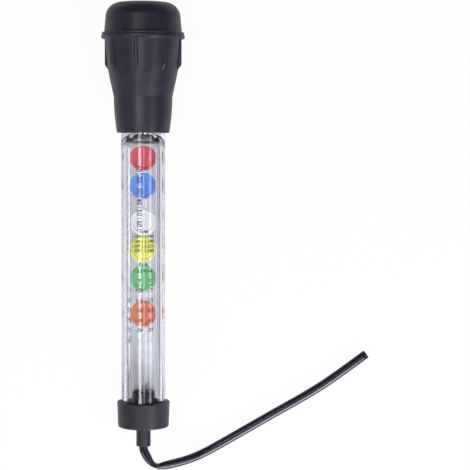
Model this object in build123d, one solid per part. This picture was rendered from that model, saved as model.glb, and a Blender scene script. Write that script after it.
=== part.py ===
from build123d import *
import math
import os

# A squeeze-bulb tester for battery acid or coolant, lying on a table.
# Millimetres. Each piece is built upright on the tool's own long axis, with
# the nozzle's mouth at station 0, the bulb up and the front towards -Y.
# The whole tool is then laid down once, front up and bulb towards +Y.

# Barrel: a clear moulded tube with a domed wall near its top
barrel_radius = 12.4
barrel_wall = 2.5
barrel_length = 184.2
barrel_top_skirt = 17.5       # open socket above the domed wall
barrel_crown_wall = 2.0       # least thickness of the domed wall
barrel_outlet_radius = 2.5
barrel_edge_break = 0.5

# Guide rails: two on each side hold the discs flat to the front
rail_thickness = 1.4
rail_cover = 0.6              # how far a rail laps over a disc
rail_start = 12.5             # from the barrel's lower end
rail_lead_in = 5.0            # length of the slope at a rail's lower end

# Floating discs
disc_side_room = 2.45         # from a disc's rim to the bore's wall
disc_thickness = 2.4
disc_web_thickness = 1.6
disc_rim_width = 1.5
disc_edge_break = 0.35
disc_clearance = 0.3

# Each disc, with the way below it as a share of all the way that they leave free
disc_free_shares = [
    ("disc_orange", 0.633),
    ("disc_green", 0.098),
    ("disc_yellow", 0.028),
    ("disc_white", 0.007),
    ("disc_blue", 0.098),
    ("disc_red", 0.018),
]

# Squeeze bulb: one hollow rubber moulding. Its heights follow each other from
# the collar's lip up, and its radii build on the barrel's socket
bulb_wall = 2.6
collar_depth = 20.0           # how far the barrel goes in
collar_lip_wall = 2.35
collar_middle_wall = 3.6
collar_waist_wall = 4.1
waist_past_barrel = 0.5
waist_blend = 8.0
ledge_width = 2.0             # the ledge that the barrel's end meets
ledge_depth = 2.2
flare_height = 14.8           # from the waist to the shoulder
shoulder_swell = 7.35         # over the socket's radius
shoulder_blend = 60.0
body_height = 17.9            # from the shoulder to the flange
body_swell = 8.75             # over the socket's radius
flange_lip_proud = 2.3        # this and the next ones are over the body's radius
flange_lip_thickness = 1.7
flange_ring_proud = 1.7
flange_ring_thickness = 1.7
bead_proud = 0.95
bead_thickness = 1.0
groove_depth = 0.35
groove_width = 0.6
dome_base_proud = 0.55
dome_taper = 1.45
dome_height = 15.2
dome_corner_round = 7.5
dome_crown_sag = 0.7

# Grip fins on the bulb's body
fin_count = 8
fin_width = 1.5
fin_proud = 0.7
fin_slope_height = 2.9        # the slope at a fin's lower end
fin_first_angle = -7.3        # from the front, seen from the bulb's end

# Lower cap: a rubber cup with the nozzle and the disc stop
cap_height = 14.45
cap_floor = 3.0
cap_bottom_wall = 2.0
cap_rim_wall = 2.5
cap_rim_break = 0.4
stop_side_room = 0.45         # from the stop to a guide rail
stop_height = 17.9            # above the cap's floor
stop_round = 0.6
inlet_radius = 1.5
inlet_slot_width = 2.2
inlet_slot_depth = 2.0
nozzle_length = 10.2
nozzle_radius = 4.1
nozzle_root_blend = 0.8
nozzle_lip_break = 0.4

# Hose
hose_radius = 2.5
hose_bore_radius = 1.5
hose_seat_depth = 5.0         # how far it goes into the nozzle
hose_straight_exit = 4.2      # from the mouth to the first turn
arc_share = 0.45              # part of the shorter run that an arc takes

# Fits and cutting
rubber_fit = 0.05             # radial room between rubber and what it holds
resting_round = 0.8           # on the two edges that the tool lies on
overrun = 1.0                 # how far a cut or a rail runs past a face

# Radii that follow from the sizes above
barrel_bore_radius = barrel_radius - barrel_wall
disc_radius = barrel_bore_radius - disc_side_room
rail_reach = disc_radius - rail_cover
rail_half_gap = disc_thickness / 2 + disc_clearance
stop_radius = rail_reach - stop_side_room
socket_radius = barrel_radius + rubber_fit
shoulder_radius = socket_radius + shoulder_swell
body_radius = socket_radius + body_swell
lip_radius = body_radius + flange_lip_proud
dome_base_radius = body_radius + dome_base_proud
dome_top_radius = dome_base_radius - dome_taper
cap_bottom_radius = socket_radius + cap_bottom_wall
cap_rim_radius = socket_radius + cap_rim_wall

# Heights on the bulb, from its collar's lip
waist_rise = collar_depth + waist_past_barrel
shoulder_rise = waist_rise + flare_height
flange_rise = shoulder_rise + body_height
lip_top = flange_rise + flange_lip_thickness
ring_top = lip_top + flange_ring_thickness
bead_top = ring_top + bead_thickness
groove_top = bead_top + groove_width
bulb_height = groove_top + dome_height
crown_edge = bulb_height - dome_crown_sag

# Stations on the tool's axis, from the nozzle's mouth
cap_rim_station = nozzle_length + cap_height
barrel_foot_station = nozzle_length + cap_floor
barrel_top_station = barrel_foot_station + barrel_length
dome_floor_station = barrel_top_station - barrel_top_skirt
dome_centre_station = dome_floor_station - barrel_crown_wall - barrel_bore_radius
bulb_station = barrel_top_station - collar_depth
stop_top_station = barrel_foot_station + stop_height

# The hose past its straight exit: right of the mouth, past the mouth, and
# above the table, as it lies in the photograph
hose_lay = [
    (5.7, 13.8, 12.6),
    (14.2, 12.8, 9.9),
    (25.4, 10.0, 5.6),
    (34.8, 5.95, 2.52),
    (50.0, -2.8, 2.52),
    (73.0, -15.8, 2.52),
    (98.5, -29.9, 2.52),
    (114.5, -40.9, 2.52),
    (128.1, -50.8, 2.52),
]


def turned(outline):
    """A solid of revolution about the long axis from a closed outline."""
    return revolve(Plane.XZ * make_face(outline), axis=Axis.Z)


def rod(radius, low, high):
    """A straight rod between two stations."""
    return Pos(0, 0, low) * extrude(Circle(radius), high - low)


def circles_near(solid, radius, station):
    """The circular edges of a solid at one radius and station."""
    rings = solid.edges().filter_by(GeomType.CIRCLE)
    return [
        ring for ring in rings
        if abs(ring.radius - radius) < rubber_fit
        and abs(ring.arc_center.Z - station) < rubber_fit
    ]


def bore_room(reach):
    """What fills the barrel's bore, out to a radius, up into its dome."""
    shaft = rod(reach, barrel_foot_station - overrun, dome_centre_station)
    return shaft + Pos(0, 0, dome_centre_station) * Sphere(reach)


def make_rail(side, face):
    """One guide rail: side is left or right, face is front or back."""
    root = barrel_bore_radius + overrun
    start = barrel_foot_station + rail_start
    end = dome_centre_station + barrel_bore_radius
    outline = Polyline(
        (side * root, start),
        (side * barrel_bore_radius, start),
        (side * rail_reach, start + rail_lead_in),
        (side * rail_reach, end),
        (side * root, end),
        close=True,
    )
    blade = extrude(Plane.XZ * make_face(outline), rail_thickness / 2, both=True)
    return Pos(0, face * (rail_half_gap + rail_thickness / 2), 0) * blade


def make_barrel():
    """The clear tube with its domed wall, outlet and guide rails."""
    barrel = rod(barrel_radius, barrel_foot_station, barrel_top_station)
    barrel -= bore_room(barrel_bore_radius)
    barrel -= rod(barrel_bore_radius, dome_floor_station, barrel_top_station + overrun)
    barrel -= rod(barrel_outlet_radius, dome_centre_station, barrel_top_station)
    foot_rim = circles_near(barrel, barrel_radius, barrel_foot_station)
    top_rim = circles_near(barrel, barrel_radius, barrel_top_station)
    barrel = chamfer(foot_rim + top_rim, barrel_edge_break)
    within = bore_room(barrel_bore_radius + overrun)
    for side in (-1, 1):
        for face in (-1, 1):
            barrel += make_rail(side, face) & within
    return barrel


def make_disc():
    """One disc about its own centre: a thin web with a thicker rim."""
    half_rim = disc_thickness / 2
    half_web = disc_web_thickness / 2
    rim_inner = disc_radius - disc_rim_width
    step = half_rim - half_web
    outline = Polyline(
        (0, -half_web),
        (rim_inner - step, -half_web),
        (rim_inner, -half_rim),
        (disc_radius - disc_edge_break, -half_rim),
        (disc_radius, disc_edge_break - half_rim),
        (disc_radius, half_rim - disc_edge_break),
        (disc_radius - disc_edge_break, half_rim),
        (rim_inner, half_rim),
        (rim_inner - step, half_web),
        (0, half_web),
        close=True,
    )
    return Rot(X=90) * turned(outline)


def bulb_outside():
    """The bulb's outer form without fins, as one turned solid."""
    mouth_radius = socket_radius + collar_lip_wall
    middle_radius = socket_radius + collar_middle_wall
    waist_radius = socket_radius + collar_waist_wall
    collar = ThreePointArc(
        (mouth_radius, 0), (middle_radius, waist_rise / 2), (waist_radius, waist_rise))
    flanks = Polyline(
        (waist_radius, waist_rise),
        (shoulder_radius, shoulder_rise),
        (body_radius, flange_rise),
        (lip_radius, flange_rise),
        (lip_radius, lip_top),
        (body_radius + flange_ring_proud, lip_top),
        (body_radius + flange_ring_proud, ring_top),
        (body_radius + bead_proud, ring_top),
        (body_radius + bead_proud, bead_top),
        (dome_base_radius - groove_depth, bead_top),
        (dome_base_radius, groove_top),
        (dome_top_radius, crown_edge),
    )
    crown = ThreePointArc(
        (dome_top_radius, crown_edge),
        (dome_top_radius / 2, bulb_height - dome_crown_sag / 4),
        (0, bulb_height))
    core = Polyline((0, bulb_height), (0, 0), (mouth_radius, 0))
    return turned(Curve() + [collar, flanks, crown, core])


def bulb_inside():
    """The bulb's hollow: barrel socket, ledge and air chamber."""
    ledge_radius = socket_radius - ledge_width
    outline = Polyline(
        (0, -overrun),
        (socket_radius, -overrun),
        (socket_radius, collar_depth),
        (ledge_radius, collar_depth),
        (ledge_radius, collar_depth + ledge_depth),
        (shoulder_radius - bulb_wall, shoulder_rise),
        (body_radius - bulb_wall, flange_rise),
        (dome_base_radius - bulb_wall, ring_top),
        (dome_top_radius - bulb_wall, bulb_height - bulb_wall),
        (0, bulb_height - bulb_wall),
        close=True,
    )
    return turned(outline)


def make_fin(angle):
    """One straight grip fin, sloped into the body at its lower end."""
    crest = body_radius + fin_proud
    top = flange_rise + flange_lip_thickness / 2
    outline = Polyline(
        (shoulder_radius - bulb_wall / 2, shoulder_rise),
        (shoulder_radius, shoulder_rise),
        (crest, shoulder_rise + fin_slope_height),
        (crest, top),
        (body_radius - bulb_wall / 2, top),
        close=True,
    )
    blade = extrude(Plane.XZ * make_face(outline), fin_width / 2, both=True)
    return Rot(Z=angle - 90) * blade


def make_bulb():
    """The squeeze bulb, from its collar's lip up."""
    bulb = bulb_outside()
    waist_radius = socket_radius + collar_waist_wall
    bulb = fillet(circles_near(bulb, waist_radius, waist_rise), waist_blend)
    bulb = fillet(circles_near(bulb, shoulder_radius, shoulder_rise), shoulder_blend)
    bulb = fillet(circles_near(bulb, lip_radius, flange_rise), resting_round)
    bulb = fillet(circles_near(bulb, dome_top_radius, crown_edge), dome_corner_round)
    hollow = bulb_inside()
    crown = circles_near(hollow, dome_top_radius - bulb_wall, bulb_height - bulb_wall)
    bulb -= fillet(crown, dome_corner_round - bulb_wall)
    for number in range(fin_count):
        bulb += make_fin(fin_first_angle + number * 360 / fin_count)
    return Pos(0, 0, bulb_station) * bulb


def make_cap():
    """The lower cap with its disc stop, inlet and nozzle."""
    cup = turned(Polyline(
        (0, nozzle_length),
        (cap_bottom_radius, nozzle_length),
        (cap_rim_radius, cap_rim_station),
        (0, cap_rim_station),
        close=True,
    ))
    cup = fillet(circles_near(cup, cap_bottom_radius, nozzle_length), resting_round)
    cup = fillet(circles_near(cup, cap_rim_radius, cap_rim_station), cap_rim_break)
    cup -= rod(socket_radius, barrel_foot_station, cap_rim_station + overrun)
    stop = rod(stop_radius, barrel_foot_station - overrun, stop_top_station)
    stop = fillet(circles_near(stop, stop_radius, stop_top_station), stop_round)
    nozzle = rod(nozzle_radius, 0, nozzle_length + overrun)
    nozzle = chamfer(circles_near(nozzle, nozzle_radius, 0), nozzle_lip_break)
    cap = cup + stop + nozzle
    cap = fillet(circles_near(cap, nozzle_radius, nozzle_length), nozzle_root_blend)
    cap -= rod(inlet_radius, hose_seat_depth, stop_top_station + overrun)
    cap -= rod(hose_radius + rubber_fit, -overrun, hose_seat_depth)
    slot = Box(inlet_slot_width, stop_radius * 4, inlet_slot_depth * 2)
    return cap - Pos(0, 0, stop_top_station) * slot


def resting_circle(radius, slope):
    """Radius to the middle of the round on an edge that the tool lies on."""
    return radius + resting_round * (slope - math.hypot(1, slope))


def axis_tilt():
    """The axis's slope as the tool lies on the flange's lip and the cap's edge."""
    cap_slope = (cap_rim_radius - cap_bottom_radius) / cap_height
    rise = resting_circle(lip_radius, 0) - resting_circle(cap_bottom_radius, cap_slope)
    reach = bulb_station + flange_rise - nozzle_length
    return math.degrees(math.atan2(rise, reach))


def disc_stations():
    """Each disc's place in the barrel, from the lowest disc up."""
    dome_reach = math.sqrt(barrel_bore_radius ** 2 - (disc_thickness / 2) ** 2)
    highest_rim = dome_centre_station + dome_reach - disc_clearance
    taken = 2 * disc_radius * len(disc_free_shares)
    free_way = highest_rim - stop_top_station - taken
    stations = {}
    centre = stop_top_station - disc_radius
    for name, share in disc_free_shares:
        centre += share * free_way + 2 * disc_radius
        stations[name] = centre
        print(name, "way below", round(share * free_way, 3), "of", round(free_way, 3))
    return stations


def laid_down():
    """All pieces but the hose, lying front up, with the placing used."""
    upright = {"squeeze_bulb": make_bulb(), "barrel": make_barrel(), "lower_cap": make_cap()}
    for name, station in disc_stations().items():
        upright[name] = Pos(0, 0, station) * make_disc()
    turn = Rot(X=axis_tilt() - 90)
    box = Compound([turn * piece for piece in upright.values()]).bounding_box()
    placing = Pos(0, -box.center().Y, -box.min.Z) * turn
    return {name: placing * piece for name, piece in upright.items()}, placing


def hose_route(placing):
    """The hose's points, from its seat in the nozzle to its open end."""
    on_axis = (hose_seat_depth, 0, -hose_straight_exit)
    seat, mouth, first_turn = [(placing * Pos(0, 0, station)).position for station in on_axis]
    lay = [Vector(right, mouth.Y - past, height) for right, past, height in hose_lay]
    return [seat, first_turn] + lay


def bend_radii(points):
    """One arc for each corner, as large as its two runs allow."""
    radii = []
    for before, corner, after in zip(points, points[1:], points[2:]):
        run_in, run_out = corner - before, after - corner
        shorter = min(run_in.length, run_out.length)
        half_turn = math.radians(run_in.get_angle(run_out)) / 2
        radii.append(arc_share * shorter / math.tan(half_turn))
    return radii


def make_hose(placing):
    """The hose as one hollow tube of straight runs and tangent arcs."""
    points = hose_route(placing)
    radii = bend_radii(points)
    path = FilletPolyline(*points, radius=radii)
    start = Plane(origin=points[0], z_dir=points[1] - points[0])
    ring = start * (Circle(hose_radius) - Circle(hose_bore_radius))
    hose = sweep(ring, path=path)
    section = math.pi * (hose_radius ** 2 - hose_bore_radius ** 2)
    print("hose points", [tuple(round(value, 2) for value in point) for point in points])
    print("hose bend radii", [round(radius, 1) for radius in radii])
    print("hose length", round(path.length, 2), "free", round(path.length - hose_seat_depth, 2))
    print("hose volume", round(hose.volume, 2), "expected", round(section * path.length, 2))
    return hose


def main():
    """Write every piece to its own file."""
    os.makedirs("parts", exist_ok=True)
    pieces, placing = laid_down()
    pieces["hose"] = make_hose(placing)
    for name, piece in pieces.items():
        export_step(piece, f"parts/{name}.step")
        box = piece.bounding_box()
        print(name, round(piece.volume, 1), box.min, box.max)
    print("tilt", round(axis_tilt(), 3), "mouth", placing.position)


main()
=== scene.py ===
import bpy
import bmesh
import math
from mathutils import Matrix, Vector


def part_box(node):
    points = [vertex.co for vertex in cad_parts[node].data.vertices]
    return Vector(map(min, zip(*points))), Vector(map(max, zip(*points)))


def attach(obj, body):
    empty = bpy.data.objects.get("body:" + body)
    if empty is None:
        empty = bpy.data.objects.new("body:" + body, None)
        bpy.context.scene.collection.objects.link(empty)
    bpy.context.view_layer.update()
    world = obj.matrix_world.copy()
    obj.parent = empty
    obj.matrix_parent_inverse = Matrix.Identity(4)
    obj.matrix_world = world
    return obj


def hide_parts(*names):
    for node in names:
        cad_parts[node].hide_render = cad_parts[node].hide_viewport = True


# A squeeze-bulb tester lying on a white table, seen from above.
# The rigid pieces are made in the tool's own frame, in millimetres: z runs up
# the barrel from the nozzle's mouth and the front faces -y.
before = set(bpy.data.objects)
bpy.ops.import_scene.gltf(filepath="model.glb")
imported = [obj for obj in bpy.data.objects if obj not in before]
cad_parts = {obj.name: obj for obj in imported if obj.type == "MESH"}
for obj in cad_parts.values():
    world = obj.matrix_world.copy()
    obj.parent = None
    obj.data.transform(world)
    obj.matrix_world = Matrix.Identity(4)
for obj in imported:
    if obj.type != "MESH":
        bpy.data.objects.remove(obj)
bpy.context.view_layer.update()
millimetre = 0.001
toolSettings = {"barrelFoot": 13.2, "barrelTop": 197.4}   # stations of the barrel's ends


def boxMiddle(node):
    low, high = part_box(node)
    return (low + high) / 2


# From millimetres along the tool to metres in the row's frame
def findToolSpace():
    up = (boxMiddle("disc_red") - boxMiddle("disc_orange")).normalized()
    right = Vector((1, 0, 0))
    back = up.cross(right)
    middle = (toolSettings["barrelFoot"] + toolSettings["barrelTop"]) / 2
    mouth = boxMiddle("barrel") - up * middle * millimetre
    turn = Matrix((right, back, up)).transposed().to_4x4()
    return Matrix.Translation(mouth) @ turn @ Matrix.Scale(millimetre, 4)


toolSpace = findToolSpace()


# The camera, above the tool and a little to its right

cameraSettings = {
    "place": (0.05195, 0.0175, 0.910),
    "tilt": -1.49,
    "roll": 0.16,
    "fieldOfView": 17.0,
}


def makeCamera():
    data = bpy.data.cameras.new("camera")
    data.angle = math.radians(cameraSettings["fieldOfView"])
    camera = bpy.data.objects.new("camera", data)
    camera.location = cameraSettings["place"]
    tilt = math.radians(cameraSettings["tilt"])
    roll = math.radians(cameraSettings["roll"])
    camera.rotation_euler = (tilt, 0, roll)
    bpy.context.collection.objects.link(camera)
    bpy.context.scene.camera = camera
    print("camera in place")


makeCamera()


# Small helpers for the materials

def newMaterial(name):
    material = bpy.data.materials.new(name)
    material.use_nodes = True
    tree = material.node_tree
    return material, tree, tree.nodes["Principled BSDF"]


def noiseNode(tree, scale, detail, stretch=(1, 1, 1)):
    where = tree.nodes.new("ShaderNodeTexCoord")
    mapping = tree.nodes.new("ShaderNodeMapping")
    mapping.inputs["Scale"].default_value = stretch
    noise = tree.nodes.new("ShaderNodeTexNoise")
    noise.inputs["Scale"].default_value = scale
    noise.inputs["Detail"].default_value = detail
    tree.links.new(where.outputs["Object"], mapping.inputs["Vector"])
    tree.links.new(mapping.outputs["Vector"], noise.inputs["Vector"])
    return noise.outputs["Fac"]


# Most of a noise's values lie between 0.3 and 0.7
def rangeNode(tree, source, low, high, fromLow=0.3, fromHigh=0.7):
    node = tree.nodes.new("ShaderNodeMapRange")
    node.inputs["From Min"].default_value = fromLow
    node.inputs["From Max"].default_value = fromHigh
    node.inputs["To Min"].default_value = low
    node.inputs["To Max"].default_value = high
    tree.links.new(source, node.inputs["Value"])
    return node.outputs["Result"]


def colourNode(tree, source, dark, light, fromLow=0.3, fromHigh=0.7):
    ramp = tree.nodes.new("ShaderNodeValToRGB")
    ramp.color_ramp.elements[0].position = fromLow
    ramp.color_ramp.elements[1].position = fromHigh
    ramp.color_ramp.elements[0].color = (*dark, 1)
    ramp.color_ramp.elements[1].color = (*light, 1)
    tree.links.new(source, ramp.inputs["Fac"])
    return ramp.outputs["Color"]


def bumpNode(tree, source, depth, strength, under=None):
    bump = tree.nodes.new("ShaderNodeBump")
    bump.inputs["Distance"].default_value = depth
    bump.inputs["Strength"].default_value = strength
    tree.links.new(source, bump.inputs["Height"])
    if under is not None:
        tree.links.new(under, bump.inputs["Normal"])
    return bump.outputs["Normal"]


def dress(tree, shader, roughness, colour=None, skin=None):
    tree.links.new(roughness, shader.inputs["Roughness"])
    if colour is not None:
        tree.links.new(colour, shader.inputs["Base Color"])
    if skin is not None:
        tree.links.new(skin, shader.inputs["Normal"])


# Small helpers for the meshes

fullTurn = 2 * math.pi
mostOfASide = 0.42     # how much of the stretch beside it a corner's round can take
supportGap = 0.12      # millimetres from a round to its point of support
supportShare = 0.3     # and never more than this share of the round's reach


def onCircle(radius, turn):
    return radius * math.cos(turn), radius * math.sin(turn)


# A point round the tool's axis; a turn of 0 is its front
def roundTool(radius, turn, height):
    return radius * math.sin(turn), -radius * math.cos(turn), height


# Rounds the corners (radius, height, round) of an outline, with a point of
# support on both sides of each round so that flat faces shade flat
def softOutline(corners, step, closed=False):
    last = len(corners)
    points = []
    for number, (x, y, wanted) in enumerate(corners):
        here = Vector((x, y))
        atEnd = not closed and number in (0, last - 1)
        back = Vector(corners[number - 1][:2]) - here
        ahead = Vector(corners[(number + 1) % last][:2]) - here
        if atEnd or wanted == 0:
            points.append(here)
            continue
        turn = math.pi - back.angle(ahead)
        half = math.tan(turn / 2)
        reach = min(wanted * half, mostOfASide * min(back.length, ahead.length))
        back.normalize()
        ahead.normalize()
        middle = here + (back + ahead).normalized() * reach / half / math.cos(turn / 2)
        side = 1 if back.x * ahead.y - back.y * ahead.x < 0 else -1
        spoke = here + back * reach - middle
        count = max(2, round(math.degrees(turn) / step))
        support = min(supportGap, supportShare * reach)
        points.append(here + back * (reach + support))
        for part in range(count + 1):
            arm = spoke.copy()
            arm.rotate(Matrix.Rotation(side * turn * part / count, 2))
            points.append(middle + arm)
        points.append(here + ahead * (reach + support))
    return points


# Puts points into an outline's stretches longer than a size
def fineOutline(points, longest):
    fine = [points[0]]
    for before, after in zip(points, points[1:]):
        parts = max(1, math.ceil((after - before).length / longest))
        fine += [before.lerp(after, part / parts) for part in range(1, parts + 1)]
    return fine


# Loops of points skinned into one surface; a loop of one point is a pole
def skinLoops(loops, closed=False):
    bm = bmesh.new()
    rings = [[bm.verts.new(point) for point in loop] for loop in loops]
    pairs = list(zip(rings, rings[1:]))
    if closed:
        pairs.append((rings[-1], rings[0]))
    for low, high in pairs:
        for number in range(max(len(low), len(high))):
            a = low[number % len(low)]
            b = low[(number + 1) % len(low)]
            c = high[(number + 1) % len(high)]
            d = high[number % len(high)]
            bm.faces.new(list(dict.fromkeys((a, b, c, d))))
    bmesh.ops.recalc_face_normals(bm, faces=bm.faces)
    return bm


# A turned body: the outline's points go round the axis at the given turns, and
# relief(turn, radius, height) says how far a point stands proud
def turnedBody(outline, turns, closed=False, relief=None):
    loops = []
    for point in outline:
        if point.x == 0:
            loops.append([(0, 0, point.y)])
            continue
        ring = []
        for turn in turns:
            radius = point.x + (relief(turn, point.x, point.y) if relief else 0)
            ring.append(roundTool(radius, turn, point.y))
        loops.append(ring)
    return skinLoops(loops, closed)


def evenTurns(count):
    return [fullTurn * number / count for number in range(count)]


# Turns in their order round the tool, each of them once
def sortTurns(turns):
    return sorted({round(turn % fullTurn, 6) for turn in turns})


def turnBetween(a, b):
    return (a - b + math.pi) % fullTurn - math.pi


def makePiece(name, bm, material, body="root", nodes=(), sharp=32, space=None):
    bm.transform(toolSpace if space is None else space)
    mesh = bpy.data.meshes.new(name)
    bm.to_mesh(mesh)
    bm.free()
    for face in mesh.polygons:
        face.use_smooth = True
    mesh.set_sharp_from_angle(angle=math.radians(sharp))
    piece = bpy.data.objects.new(name, mesh)
    bpy.context.collection.objects.link(piece)
    mesh.materials.append(material)
    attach(piece, body)
    if nodes:
        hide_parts(*nodes)
    print(name, len(mesh.polygons), "faces")
    return piece


# In the dictionaries below a noise is (scale, detail, stretch), a skin is
# (depth in metres, strength) and a roughness is (lowest, highest), with the
# range that it follows where that isn't a noise's 0.3 to 0.7

# The hose, in metres

hoseSettings = {
    # from the seat in the nozzle to the open end, as it lies on the table
    "route": [
        (0.0, -0.12035, 0.01422),
        (0.0, -0.12625, 0.01398),   # keeps it straight through the nozzle
        (0.0, -0.12954, 0.01384),
        (0.0057, -0.13914, 0.0126),
        (0.0142, -0.13814, 0.0099),
        (0.0255, -0.13584, 0.0056),
        (0.0351, -0.13216, 0.00252),
        (0.0504, -0.12342, 0.00252),
        (0.0733, -0.11013, 0.00252),
        (0.0987, -0.09579, 0.00252),
        (0.1146, -0.08474, 0.00252),
        (0.1281, -0.07466, 0.00252),
    ],
    "stepsBetween": 12,
    "radius": 0.0025, "bore": 0.0015, "length": 0.1605, "around": 32,
    "lipBreak": 0.0004, "lipInset": 0.00024,
    # where it has folded, how far that reaches, and its width across and upright there
    "foldAt": (0.0066, -0.1379, 0.0115), "foldReach": 0.0042,
    "foldFlat": 0.58, "foldWide": 1.22,
    "dark": (0.008, 0.008, 0.016), "light": (0.013, 0.013, 0.025), "clouds": (70, 3),
    "shine": 0.4, "shineTint": (0.92, 0.91, 1.0), "roughness": (0.14, 0.18),
    "drawn": (160, 2), "drawnSkin": (0.00002, 0.025),
}


def hoseFinish():
    look = hoseSettings
    material, tree, shader = newMaterial("glossyHose")
    shader.inputs["Specular IOR Level"].default_value = look["shine"]
    shader.inputs["Specular Tint"].default_value = (*look["shineTint"], 1)
    clouds = noiseNode(tree, *look["clouds"])
    roughness = rangeNode(tree, clouds, *look["roughness"])
    colour = colourNode(tree, clouds, look["dark"], look["light"])
    skin = bumpNode(tree, noiseNode(tree, *look["drawn"]), *look["drawnSkin"])
    dress(tree, shader, roughness, colour, skin)
    return material


def smoothRoute():
    route = hoseSettings["route"]
    curve = bpy.data.curves.new("hoseLine", "CURVE")
    curve.dimensions = "3D"
    spline = curve.splines.new("NURBS")
    spline.points.add(len(route) - 1)
    for point, place in zip(spline.points, route):
        point.co = (*place, 1)
    spline.order_u = 3
    spline.use_endpoint_u = True
    spline.resolution_u = hoseSettings["stepsBetween"]
    holder = bpy.data.objects.new("hoseLine", curve)
    mesh = bpy.data.meshes.new_from_object(holder)
    points = [vertex.co.copy() for vertex in mesh.vertices]
    bpy.data.objects.remove(holder)
    bpy.data.meshes.remove(mesh)
    return points


# The tube is squeezed across its sharpest bend, where it has folded
def makeHose():
    sizes = hoseSettings
    path = smoothRoute()
    lip = sizes["lipBreak"]
    path.insert(1, path[0] + (path[1] - path[0]).normalized() * lip)
    path.insert(-1, path[-1] + (path[-2] - path[-1]).normalized() * lip)
    fold = Vector(sizes["foldAt"])
    steps = [after - before for before, after in zip(path, path[1:])]
    ways = [a.normalized() + b.normalized() for a, b in zip(steps, steps[1:])]
    ways = [steps[0]] + ways + [steps[-1]]
    outside, inside = [], []
    for number, (place, way) in enumerate(zip(path, ways)):
        way = way.normalized()
        level = Vector((0, 0, 1)).cross(way).normalized()
        upright = way.cross(level)
        squeeze = math.exp(-((place - fold).length / sizes["foldReach"]) ** 2)
        wide = 1 + (sizes["foldFlat"] - 1) * squeeze
        high = 1 + (sizes["foldWide"] - 1) * squeeze
        inset = sizes["lipInset"] if number in (0, len(path) - 1) else 0
        for radius, rings in ((sizes["radius"] - inset, outside), (sizes["bore"] + inset, inside)):
            ring = []
            for turn in evenTurns(sizes["around"]):
                ring.append(place + level * radius * wide * math.cos(turn)
                            + upright * radius * high * math.sin(turn))
            rings.append(ring)
    bm = skinLoops(outside + inside[::-1], closed=True)
    piece = makePiece("dipHose", bm, hoseFinish(), nodes=("hose",),
                      sharp=50, space=Matrix.Identity(4))
    print("hose length", round(sum(step.length for step in steps), 5))


makeHose()


# The clear barrel

barrelSettings = {
    "outer": 12.4, "bore": 9.9, "rimBreak": 0.5, "mouthBreak": 0.2,
    # the dome inside it, its outlet, and the floor of the skirt above
    "domeMiddle": 168.0, "domeRings": 22, "domeFloor": 179.9,
    "outlet": 2.5, "outletBreak": 0.3, "floorRound": 0.6, "floorRoundMiddle": 0.18,
    # near and far are a rail's two sides and reach is its tip, from the middle planes
    "railStart": 25.7, "railLeadIn": 5.0, "railNear": 1.5, "railFar": 2.9,
    "railReach": 6.85, "railRound": 0.2, "railLeastBore": 7.5,
    "sideArcs": 3, "frontArcs": 25,
    "tint": (0.89, 0.895, 0.93), "lightThrough": (0.92, 0.921, 0.935), "ior": 1.49,
    "smudges": (90, 5), "smudgeRoughness": (0.0, 0.05, 0.4, 0.8),
    "frostRoughness": (0.0, 0.16, 0.041, 0.047),   # on the dome: the last two are metres up y
    "ripples": (110, 1, (1, 0.15, 1)), "rippleSkin": (0.00003, 0.05),
}


def clearFinish():
    look = barrelSettings
    material, tree, shader = newMaterial("clearBarrel")
    shader.inputs["Base Color"].default_value = (*look["tint"], 1)
    shader.inputs["Transmission Weight"].default_value = 1.0
    shader.inputs["IOR"].default_value = look["ior"]
    smudges = rangeNode(tree, noiseNode(tree, *look["smudges"]), *look["smudgeRoughness"])
    where = tree.nodes.new("ShaderNodeTexCoord")
    parts = tree.nodes.new("ShaderNodeSeparateXYZ")
    tree.links.new(where.outputs["Object"], parts.inputs["Vector"])
    frost = rangeNode(tree, parts.outputs["Y"], *look["frostRoughness"])
    rougher = tree.nodes.new("ShaderNodeMath")
    rougher.operation = "MAXIMUM"
    tree.links.new(smudges, rougher.inputs[0])
    tree.links.new(frost, rougher.inputs[1])
    skin = bumpNode(tree, noiseNode(tree, *look["ripples"]), *look["rippleSkin"])
    dress(tree, shader, rougher.outputs[0], skin=skin)
    # lamps shine through it on to the discs and the table, and count once there
    rays = tree.nodes.new("ShaderNodeLightPath")
    through = tree.nodes.new("ShaderNodeBsdfTransparent")
    through.inputs["Color"].default_value = (*look["lightThrough"], 1)
    seen = shader
    for kind in ("Is Diffuse Ray", "Is Shadow Ray"):
        either = tree.nodes.new("ShaderNodeMixShader")
        tree.links.new(rays.outputs[kind], either.inputs["Fac"])
        tree.links.new(seen.outputs[0], either.inputs[1])
        tree.links.new(through.outputs["BSDF"], either.inputs[2])
        seen = either
    tree.links.new(seen.outputs[0], tree.nodes["Material Output"].inputs["Surface"])
    return material


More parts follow.
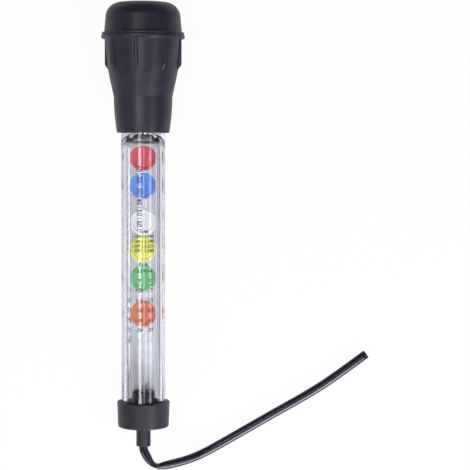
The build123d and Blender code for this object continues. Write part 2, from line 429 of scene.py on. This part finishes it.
# One quarter of a section of the bore, from the +x side up to the +y side.
# With or without rails it has the same number of points.
def boreQuarter(radius, withRails):
    sizes = barrelSettings
    near, far, tip = sizes["railNear"], sizes["railFar"], sizes["railReach"]
    soft = sizes["railRound"]
    widest = radius if withRails else max(radius, tip + soft)
    nearTurn = math.asin(near / widest)
    farTurn = math.asin(far / widest)
    if withRails:
        nearRoot = radius * math.cos(nearTurn)
        farRoot = radius * math.cos(farTurn)
        rail = [
            (nearRoot, near), ((nearRoot + tip) / 2, near), (tip + soft, near),
            (tip, near + soft), (tip, far - soft), (tip + soft, far),
            ((farRoot + tip) / 2, far), (farRoot, far),
        ]
    else:
        parts = 7    # as many as the rail's outline has
        shares = [number / parts for number in range(parts + 1)]
        rail = [onCircle(radius, nearTurn + (farTurn - nearTurn) * share) for share in shares]
    side, front = sizes["sideArcs"], sizes["frontArcs"]
    before = [onCircle(radius, nearTurn * number / side) for number in range(side)]
    rest = [farTurn + (math.pi / 2 - farTurn) * number / front for number in range(1, front)]
    return before + rail + [onCircle(radius, turn) for turn in rest]


# A whole section: the quarter mirrored about both axes, without doubles
def boreSection(radius, height, withRails=False):
    quarter = boreQuarter(radius, withRails)
    half = quarter + [(0, radius)] + [(-x, y) for x, y in quarter[:0:-1]]
    whole = half + [(-x, -y) for x, y in half]
    return [(x, y, height) for x, y in whole]


# From the foot up the bore, over the dome and the skirt's floor, and down the outside
def makeBarrel():
    sizes = barrelSettings
    foot, top = toolSettings["barrelFoot"], toolSettings["barrelTop"]
    bore, outer, rim = sizes["bore"], sizes["outer"], sizes["rimBreak"]
    outlet, outletBreak = sizes["outlet"], sizes["outletBreak"]
    middle, floor = sizes["domeMiddle"], sizes["domeFloor"]
    soft, softMiddle = sizes["floorRound"], sizes["floorRoundMiddle"]
    rails = sizes["railStart"] + sizes["railLeadIn"]
    loops = [boreSection(bore, foot), boreSection(bore, sizes["railStart"])]
    for share in (0, 0.25, 0.5, 0.75, 1):
        loops.append(boreSection(bore, rails + (middle - rails) * share, True))
    last = math.acos(outlet / bore)
    for number in range(1, sizes["domeRings"] + 1):
        radius, rise = onCircle(bore, last * number / sizes["domeRings"])
        loops.append(boreSection(radius, middle + rise, radius > sizes["railLeastBore"]))
    plain = [
        (outlet, floor - outletBreak), (outlet + outletBreak, floor),
        (bore - soft, floor), (bore - softMiddle, floor + softMiddle), (bore, floor + soft),
        (bore, top - sizes["mouthBreak"]), (bore + sizes["mouthBreak"], top),
        (outer - rim, top), (outer, top - rim),
    ]
    plain += [(outer, foot + (top - foot) * share) for share in (0.8, 0.6, 0.4, 0.2)]
    plain += [(outer, foot + rim), (outer - rim, foot)]
    loops += [boreSection(radius, height) for radius, height in plain]
    makePiece("clearBarrel", skinLoops(loops, closed=True), clearFinish(),
              nodes=("barrel",), sharp=28)


makeBarrel()


# The printed scale on the barrel's front

# Places are (across the front, station) in millimetres
printSettings = {
    "lift": 0.03, "bite": 0.02,     # out of the barrel's wall and into it
    "weld": 0.002, "slice": 0.5, "slicesEachWay": 19,
    "capShare": 0.70, "bolder": 0.07, "curveSteps": 3,
    "digit": 2.2, "line": 0.34,
    # rows with a ringed number and a number in each of two columns
    "rowStations": (89.1, 83.5, 77.9, 72.3, 66.7, 61.1),
    "rowNumbers": [
        ("+20", "- 7"), ("+ 5", "-15"), ("-10", "-23"),
        ("-24", "-31"), ("-34", "-37"), ("- -", "- -"),
    ],
    "ringAt": -7.8, "ring": 1.6, "ringLine": 0.22, "ringArcs": 28, "ringDigit": 1.87,
    "columnsAt": (-1.7, 4.5), "underlineStation": 92.3, "underlineWidth": 4.6,
    # words, across, station, height
    "freeLines": [
        ("1.100", 1.0, 122.2, 1.5),
        ("1.120 - 1.140", 0.2, 119.6, 1.75),
        ("1.160 - 1.180", 0.2, 116.8, 1.75),
        ("1.200 - 1.225", 0.2, 114.2, 1.75),
        ("1.250 - 1.280", 0.2, 111.6, 1.75),
        ("0 - 6", 0.5, 104.0, 1.8),
        ("1.2.3.4.5.6", 0.5, 100.2, 1.8),
        ("\u00b0F", -1.7, 94.6, 1.8),
        ("\u00b0C", 4.5, 94.6, 1.8),
    ],
    # tens that stand upright, from the top down, with a line under each
    "uprightAt": -1.7, "uprightDigit": 2.7,
    "uprightTop": 157.6, "uprightStep": 6.2, "uprightCount": 6,
    "dark": (0.014, 0.013, 0.030), "light": (0.055, 0.052, 0.085), "rubbed": (700, 4),
    "shine": 0.3, "roughness": (0.45, 0.7),
}


def inkFinish():
    look = printSettings
    material, tree, shader = newMaterial("printInk")
    shader.inputs["Specular IOR Level"].default_value = look["shine"]
    rubbed = noiseNode(tree, *look["rubbed"])
    roughness = rangeNode(tree, rubbed, *look["roughness"])
    dress(tree, shader, roughness, colourNode(tree, rubbed, look["dark"], look["light"]))
    return material


def addFlat(bm, outline, place):
    bm.faces.new([bm.verts.new((place[0] + x, place[1] + y, 0)) for x, y in outline])


def addBar(bm, place, width):
    corners = ((-1, -1), (1, -1), (1, 1), (-1, 1))
    addFlat(bm, [(x * width / 2, y * printSettings["line"] / 2) for x, y in corners], place)


def addNumber(bm, words, place, height, upright=False):
    letters = bpy.data.curves.new("letters", "FONT")
    letters.body = words
    letters.align_x = "CENTER"
    letters.align_y = "CENTER"
    letters.resolution_u = printSettings["curveSteps"]
    letters.size = height / printSettings["capShare"]
    letters.offset = printSettings["bolder"]
    holder = bpy.data.objects.new("letters", letters)
    mesh = bpy.data.meshes.new_from_object(holder)
    turn = Matrix.Rotation(math.radians(-90 if upright else 0), 4, "Z")
    mesh.transform(Matrix.Translation((*place, 0)) @ turn)
    bm.from_mesh(mesh)
    bpy.data.objects.remove(holder)
    bpy.data.meshes.remove(mesh)


def addRing(bm, place):
    sizes = printSettings
    for number in range(sizes["ringArcs"]):
        ends = [fullTurn * (number + part) / sizes["ringArcs"] for part in (0, 1)]
        inner = [onCircle(sizes["ring"] - sizes["ringLine"], turn) for turn in ends]
        outer = [onCircle(sizes["ring"], turn) for turn in ends]
        addFlat(bm, [inner[0], outer[0], outer[1], inner[1]], place)


def layOutPrint(bm):
    sizes = printSettings
    for number, station in enumerate(sizes["rowStations"]):
        ringPlace = (sizes["ringAt"], station)
        addRing(bm, ringPlace)
        addNumber(bm, str(number + 1), ringPlace, sizes["ringDigit"])
        for words, across in zip(sizes["rowNumbers"][number], sizes["columnsAt"]):
            addNumber(bm, words, (across, station), sizes["digit"])
    for words, across, station, height in sizes["freeLines"]:
        addNumber(bm, words, (across, station), height)
    for across in sizes["columnsAt"]:
        addBar(bm, (across, sizes["underlineStation"]), sizes["underlineWidth"])
    for number in range(sizes["uprightCount"]):
        station = sizes["uprightTop"] - number * sizes["uprightStep"]
        tens = str(10 * (number + 1))
        addNumber(bm, tens, (sizes["uprightAt"], station), sizes["uprightDigit"], upright=True)
        addBar(bm, (sizes["uprightAt"], station - sizes["uprightStep"] / 2), sizes["digit"])


# The flat print is cut into narrow slices, doubled, walled along its edges and
# bent round the barrel, each in a fixed order, so that the mesh is the same each run
def makePrint():
    sizes = printSettings
    bm = bmesh.new()
    layOutPrint(bm)
    bmesh.ops.remove_doubles(bm, verts=bm.verts, dist=sizes["weld"])
    for number in range(-sizes["slicesEachWay"], sizes["slicesEachWay"] + 1):
        everything = bm.verts[:] + bm.edges[:] + bm.faces[:]
        place = (number * sizes["slice"], 0, 0)
        bmesh.ops.bisect_plane(bm, geom=everything, plane_co=place, plane_no=(1, 0, 0))
    bmesh.ops.dissolve_degenerate(bm, edges=bm.edges, dist=sizes["weld"])
    faces = bm.faces[:]
    rims = [edge.link_loops[0] for edge in bm.edges if edge.is_boundary]
    above = {point: bm.verts.new(point.co) for point in bm.verts[:]}
    for face in faces:
        bm.faces.new([above[point] for point in face.verts])
    for rim in rims:
        a, b = rim.vert, rim.link_loop_next.vert
        bm.faces.new((a, b, above[b], above[a]))
    outer = barrelSettings["outer"]
    for points, rise in ((above.keys(), -sizes["bite"]), (above.values(), sizes["lift"])):
        for point in points:
            point.co = roundTool(outer + rise, point.co.x / outer, point.co.y)
    bmesh.ops.recalc_face_normals(bm, faces=bm.faces)
    makePiece("barrelPrint", bm, inkFinish())


makePrint()


# The floating discs

discSettings = {
    "radius": 7.43, "rimHalf": 1.2, "rimWidth": 1.5, "rimRound": 0.4, "innerRound": 0.2,
    "webHalf": 0.8, "webSlope": 0.4, "webRound": 0.25,
    "gate": 0.9, "gateRise": 0.18, "gateRound": 0.12, "gateSlope": 0.15, "gateFoot": 0.1,
    "around": 96, "roundStep": 18,
    # dark tone, light tone and how far the disc is turned about its own axis
    "discs": {
        "red": ((0.60, 0.035, 0.07), (0.72, 0.07, 0.11), 40),
        "blue": ((0.08, 0.235, 0.75), (0.15, 0.35, 0.88), 160),
        "white": ((0.88, 0.88, 0.90), (0.96, 0.96, 0.97), 265),
        "yellow": ((0.88, 0.84, 0.09), (0.97, 0.94, 0.20), 20),
        "green": ((0.15, 0.52, 0.20), (0.25, 0.69, 0.31), 110),
        "orange": ((0.70, 0.16, 0.07), (0.82, 0.26, 0.13), 205),
    },
    "shine": 0.45, "softGlow": 0.15, "softReach": (0.002, 0.002, 0.002),
    "flow": (140, 4), "roughness": (0.30, 0.48),
    "matt": (2200, 3), "mattSkin": (0.00002, 0.5),
}


def discFinish(name, dark, light):
    look = discSettings
    material, tree, shader = newMaterial(name + "Disc")
    shader.inputs["Specular IOR Level"].default_value = look["shine"]
    shader.inputs["Subsurface Weight"].default_value = look["softGlow"]
    shader.inputs["Subsurface Radius"].default_value = look["softReach"]
    flow = noiseNode(tree, *look["flow"])
    roughness = rangeNode(tree, flow, *look["roughness"])
    skin = bumpNode(tree, noiseNode(tree, *look["matt"]), *look["mattSkin"])
    dress(tree, shader, roughness, colourNode(tree, flow, dark, light), skin)
    return material


def discOutline():
    sizes = discSettings
    radius, rim, web = sizes["radius"], sizes["rimHalf"], sizes["webHalf"]
    inner = radius - sizes["rimWidth"]
    gate, rise = sizes["gate"], web + sizes["gateRise"]
    face = [
        (inner - sizes["webSlope"], web, sizes["webRound"]),
        (inner, rim, sizes["innerRound"]),
        (radius, rim, sizes["rimRound"]),
    ]
    gateMark = [
        (0, rise, 0), (gate, rise, sizes["gateRound"]),
        (gate + sizes["gateSlope"], web, sizes["gateFoot"]),
    ]
    back = [(x, -y, soft) for x, y, soft in face[::-1]]
    return softOutline(gateMark + face + back + [(0, -web, 0)], sizes["roundStep"])


def makeDisc(name, dark, light, turn):
    bm = turnedBody(discOutline(), evenTurns(discSettings["around"]))
    faceFront = Matrix.Rotation(math.radians(90), 4, "X")
    standing = faceFront @ Matrix.Rotation(math.radians(turn), 4, "Z")
    space = toolSpace.copy()
    space.translation = boxMiddle("disc_" + name)
    makePiece(name + "Disc", bm, discFinish(name, dark, light), body=name + "_disc",
              nodes=("disc_" + name,), space=space @ standing)


for discName, discLook in discSettings["discs"].items():
    makeDisc(discName, *discLook)


# The rubber of the bulb and the cap

rubberSettings = {
    "shine": 0.42, "blotches": (45, 5), "worn": (320, 4),
    "grain": (3200, 2), "grainSkin": (0.00003, 0.55),
    "swells": (150, 3), "swellSkin": (0.00012, 0.35),
}


def rubberFinish(name, dark, light, roughness):
    look = rubberSettings
    material, tree, shader = newMaterial(name)
    shader.inputs["Specular IOR Level"].default_value = look["shine"]
    colour = colourNode(tree, noiseNode(tree, *look["blotches"]), dark, light)
    worn = rangeNode(tree, noiseNode(tree, *look["worn"]), *roughness)
    grain = bumpNode(tree, noiseNode(tree, *look["grain"]), *look["grainSkin"])
    swells = bumpNode(tree, noiseNode(tree, *look["swells"]), *look["swellSkin"], under=grain)
    dress(tree, shader, worn, colour, swells)
    return material


# The squeeze bulb

bulbSettings = {
    "lowerEdge": 177.4,
    # radius, rise over the lower edge, round
    "outer": [
        (0, 73.4, 0), (6.5, 73.34, 60),
        (15.05, 72.97, 8.5), (18.6, 70.91, 8.5), (20.82, 67.46, 8.5),
        (21.8, 56.6, 0.35), (23.1, 56.3, 0.5), (23.15, 55.1, 0.35), (22.8, 54.85, 0.12),
        (23.47, 54.65, 0.45), (23.47, 52.75, 0.5), (21.2, 52.75, 0.5), (19.8, 35.3, 60),
        (16.55, 20.5, 8), (16.39, 15.4, 40), (16.05, 10.25, 40), (15.52, 5.1, 40),
        (14.8, 0, 0.6), (12.45, 0, 0.35), (12.45, 20.0, 0),
    ],
    "inner": [
        (12.45, 20.0, 0), (10.45, 20.0, 0), (10.45, 22.2, 0), (17.2, 35.3, 0),
        (18.6, 53.2, 0), (19.15, 56.6, 0), (18.0, 66.2, 5), (15.6, 69.4, 5),
        (12.5, 70.8, 5), (0, 70.8, 0),
    ],
    "roundStep": 9, "innerRoundStep": 18, "longestFace": 1.1,
    # the fins rise from their foot's radius to their crest's, and none is inside finLeast
    "fins": 8, "firstFin": -7.3, "finCrest": 21.9, "finFoot": 19.8, "finLeast": 19.5,
    "finStart": 35.3, "finSlope": 2.9, "finEnd": 52.74,
    # half width of a fin and how much of its height it has there
    "finShape": ((0, 1), (0.3, 1), (0.5, 0.97), (0.64, 0.86), (0.74, 0.5),
                 (0.84, 0.14), (0.96, 0.03), (1.2, 0)),
    "wallTurns": 13, "wallTurnStart": 3.0, "wallTurnStep": 2.97,   # degrees, between two fins
    # the ridge fades at the top of the dome and begins above the lower edge
    "seamTurn": 82.0, "seamHalf": 0.22, "seamRise": 0.09, "seamFoot": 1.6,
    "seamStart": 1, "seamInside": 14, "seamFade": 4,
    "dark": (0.010, 0.010, 0.022), "light": (0.016, 0.016, 0.034), "roughness": (0.34, 0.46),
}


def shapeAt(shape, distance):
    for (nearer, high), (farther, low) in zip(shape, shape[1:]):
        if distance <= farther:
            return high + (low - high) * (distance - nearer) / (farther - nearer)
    return 0


# More turns where the fins and seams stand, so that their sides are crisp
def bulbTurns(fins, seams):
    sizes = bulbSettings
    crest = sizes["finCrest"]
    halves = [step[0] for step in sizes["finShape"]]
    turns = []
    for fin in fins:
        for half in halves:
            turns += [fin - half / crest, fin + half / crest]
        for number in range(1, sizes["wallTurns"] + 1):
            degrees = sizes["wallTurnStart"] + sizes["wallTurnStep"] * number
            turns.append(fin + math.radians(degrees))
    foot = sizes["seamFoot"]
    for seam in seams:
        for share in (-foot, -1, -0.5, 0, 0.5, 1, foot):
            turns.append(seam + share * sizes["seamHalf"] / crest)
    return sortTurns(turns)


def makeBulb():
    sizes = bulbSettings
    crest, start = sizes["finCrest"], sizes["finStart"]
    fins = [math.radians(sizes["firstFin"]) + turn for turn in evenTurns(sizes["fins"])]
    seams = [math.radians(sizes["seamTurn"]), math.radians(sizes["seamTurn"] + 180)]
    seamReach = sizes["seamHalf"] * sizes["seamFoot"]

    def relief(turn, radius, height):
        rise = height - sizes["lowerEdge"]
        proud = 0
        slope = (crest - sizes["finFoot"]) * (rise - start) / sizes["finSlope"]
        room = min(crest, sizes["finFoot"] + slope) - radius
        if start <= rise < sizes["finEnd"] and room > 0 and radius > sizes["finLeast"]:
            for fin in fins:
                away = abs(turnBetween(turn, fin)) * crest
                proud = max(proud, room * shapeAt(sizes["finShape"], away))
        if radius > sizes["seamInside"] and rise > sizes["seamStart"]:
            fade = min(1, (radius - sizes["seamInside"]) / sizes["seamFade"])
            for seam in seams:
                away = abs(turnBetween(turn, seam)) * radius
                share = max(0, 1 - (away / seamReach) ** 2)
                proud = max(proud, sizes["seamRise"] * share * fade)
        return proud

    outer = fineOutline(softOutline(sizes["outer"], sizes["roundStep"]), sizes["longestFace"])
    inner = softOutline(sizes["inner"], sizes["innerRoundStep"])
    outline = [Vector((x, y + sizes["lowerEdge"])) for x, y in outer + inner[1:]]
    bm = turnedBody(outline, bulbTurns(fins, seams), relief=relief)
    rubber = rubberFinish("bulbRubber", sizes["dark"], sizes["light"], sizes["roughness"])
    makePiece("squeezeBulb", bm, rubber, nodes=("squeeze_bulb",), sharp=50)


makeBulb()


# The lower cap

capSettings = {
    # radius, station, round, round the wall from inside the nozzle's mouth
    "corners": [
        (2.55, -1.2, 0.15), (4.1, -1.2, 0.4), (4.1, 10.2, 0.8), (14.45, 10.2, 0.9),
        (14.95, 24.65, 0.45), (12.45, 24.65, 0.3), (12.45, 13.2, 0.2), (6.4, 13.2, 0.3),
        (6.4, 31.1, 1.4), (1.5, 31.1, 0.2), (1.5, 5.0, 0), (2.55, 5.0, 0),
    ],
    "around": 120, "roundStep": 12, "longestFace": 2.5,
    # the seams run down the outside, and not in the nozzle's bore or in the cup
    "seamTurns": (-6.5, 173.5), "seamRadius": 14.7, "seamHalf": 0.5, "seamRise": 0.07,
    "nozzleInside": 3.5, "cupInside": 13.5, "cupFloor": 12,
    "stopTop": 31.1, "slotWidth": 2.2, "slotLength": 16, "slotDepth": 2.0,
    "dark": (0.011, 0.011, 0.020), "light": (0.018, 0.018, 0.031), "roughness": (0.38, 0.52),
}


# The stop's slot, front to back, lets coolant past a disc that rests on it
def cutSlot(piece):
    sizes = capSettings
    bm = bmesh.new()
    bmesh.ops.create_cube(bm, size=1)
    blockSize = (sizes["slotWidth"], sizes["slotLength"], 2 * sizes["slotDepth"])
    bmesh.ops.scale(bm, vec=blockSize, verts=bm.verts)
    bmesh.ops.translate(bm, vec=(0, 0, sizes["stopTop"]), verts=bm.verts)
    bm.transform(toolSpace)
    block = bpy.data.meshes.new("slotBlock")
    bm.to_mesh(block)
    bm.free()
    blockHolder = bpy.data.objects.new("slotBlock", block)
    cut = piece.modifiers.new("slot", "BOOLEAN")
    cut.object = blockHolder
    cut.solver = "EXACT"
    bpy.context.view_layer.update()
    seen = piece.evaluated_get(bpy.context.evaluated_depsgraph_get())
    whole, piece.data = piece.data, bpy.data.meshes.new_from_object(seen)
    piece.modifiers.remove(cut)
    bpy.data.objects.remove(blockHolder)
    bpy.data.meshes.remove(block)
    bpy.data.meshes.remove(whole)
    piece.data.name = piece.name
    print("slot cut,", len(piece.data.polygons), "faces")


def makeCap():
    sizes = capSettings
    seams = [math.radians(turn) for turn in sizes["seamTurns"]]
    turns = evenTurns(sizes["around"])
    for seam in seams:
        for share in (-1, -0.6, -0.3, 0, 0.3, 0.6, 1):
            turns.append(seam + share * sizes["seamHalf"] / sizes["seamRadius"])

    def relief(turn, radius, height):
        inNozzle = radius < sizes["nozzleInside"]
        inCup = radius < sizes["cupInside"] and height > sizes["cupFloor"]
        if inNozzle or inCup:
            return 0
        away = min(abs(turnBetween(turn, seam)) for seam in seams) * sizes["seamRadius"]
        return sizes["seamRise"] * max(0, 1 - (away / sizes["seamHalf"]) ** 2)

    corners = softOutline(sizes["corners"], sizes["roundStep"], closed=True)
    outline = fineOutline(corners, sizes["longestFace"])
    bm = turnedBody(outline, sortTurns(turns), closed=True, relief=relief)
    rubber = rubberFinish("capRubber", sizes["dark"], sizes["light"], sizes["roughness"])
    piece = makePiece("lowerCap", bm, rubber, nodes=("lower_cap",), sharp=40)
    cutSlot(piece)


makeCap()


# The table, the air and the lamps

tableSettings = {
    "size": 8.0, "white": (0.81, 0.81, 0.84), "roughness": 0.9, "shine": 0.1,
    "glow": 0.95, "glowInGloss": 0.2,
    "lessThroughClear": -0.2,   # rays through the clear barrel count as glossy too
}
airSettings = {"walls": 0.16, "ceiling": 0.10, "wallTop": 0.35, "ceilingFrom": 0.65}
lampSettings = {
    # place, aimed at, width, length, power
    "leftStrip": ((-0.27, -0.04, 1.00), (0.0, -0.04, 0.0), 0.27, 0.62, 3.5),
    "thinStrip": ((0.12, -0.04, 1.00), (0.0, -0.04, 0.0), 0.06, 0.62, 0.65),
    "rightPanel": ((0.69, -0.18, 0.78), (0.0, -0.18, 0.0), 0.18, 0.62, 1.55),
    "leftSoft": ((-0.95, -0.04, 0.42), (0.0, -0.04, 0.0), 0.70, 0.80, 0.8),
    "lowPanel": ((0.35, -0.60, 0.35), (0.07, -0.115, 0.0), 0.47, 0.265, 5.7),
    "lowLeft": ((-0.62, -0.86, 0.50), (0.01, -0.135, 0.01), 0.50, 0.35, 3.5),
}


# How much of the table's own white a ray sees; lamps still cast its shadows
def tableGlow(tree):
    rays = tree.nodes.new("ShaderNodeLightPath")
    total = None
    for name, share in (("Is Camera Ray", "glow"), ("Is Glossy Ray", "glowInGloss"),
                        ("Is Transmission Ray", "lessThroughClear")):
        part = tree.nodes.new("ShaderNodeMath")
        part.operation = "MULTIPLY_ADD"
        part.use_clamp = True
        part.inputs[1].default_value = tableSettings[share]
        part.inputs[2].default_value = 0
        tree.links.new(rays.outputs[name], part.inputs[0])
        if total is not None:
            tree.links.new(total, part.inputs[2])
        total = part.outputs[0]
    return total


def makeTable():
    look = tableSettings
    bm = bmesh.new()
    bmesh.ops.create_grid(bm, x_segments=1, y_segments=1, size=look["size"])
    mesh = bpy.data.meshes.new("table")
    bm.to_mesh(mesh)
    bm.free()
    table = bpy.data.objects.new("table", mesh)
    bpy.context.collection.objects.link(table)
    material, tree, shader = newMaterial("paleTable")
    shader.inputs["Base Color"].default_value = (*look["white"], 1)
    shader.inputs["Roughness"].default_value = look["roughness"]
    shader.inputs["Specular IOR Level"].default_value = look["shine"]
    glow = tree.nodes.new("ShaderNodeEmission")
    mix = tree.nodes.new("ShaderNodeMixShader")
    tree.links.new(tableGlow(tree), mix.inputs["Fac"])
    tree.links.new(shader.outputs["BSDF"], mix.inputs[1])
    tree.links.new(glow.outputs["Emission"], mix.inputs[2])
    tree.links.new(mix.outputs["Shader"], tree.nodes["Material Output"].inputs["Surface"])
    mesh.materials.append(material)


# Soft white light from all round, a little less of it from above
def makeAir():
    air = airSettings
    world = bpy.data.worlds.new("studio")
    bpy.context.scene.world = world
    world.use_nodes = True
    tree = world.node_tree
    background = tree.nodes["Background"]
    ways = tree.nodes.new("ShaderNodeTexCoord")
    parts = tree.nodes.new("ShaderNodeSeparateXYZ")
    tree.links.new(ways.outputs["Generated"], parts.inputs["Vector"])
    rise = rangeNode(tree, parts.outputs["Z"], air["walls"], air["ceiling"],
                     air["wallTop"], air["ceilingFrom"])
    tree.links.new(rise, background.inputs["Strength"])
    background.inputs["Color"].default_value = (1, 1, 1, 1)


def makeLamps():
    for name, (place, aim, width, length, power) in lampSettings.items():
        data = bpy.data.lights.new(name, "AREA")
        data.shape = "RECTANGLE"
        data.size = length
        data.size_y = width
        data.energy = power
        lamp = bpy.data.objects.new(name, data)
        lamp.location = place
        look = Vector(aim) - Vector(place)
        lamp.rotation_euler = look.to_track_quat("-Z", "Y").to_euler()
        bpy.context.collection.objects.link(lamp)


makeTable()
makeAir()
makeLamps()
bpy.context.scene.view_settings.view_transform = "Standard"
print("table and lamps in place")
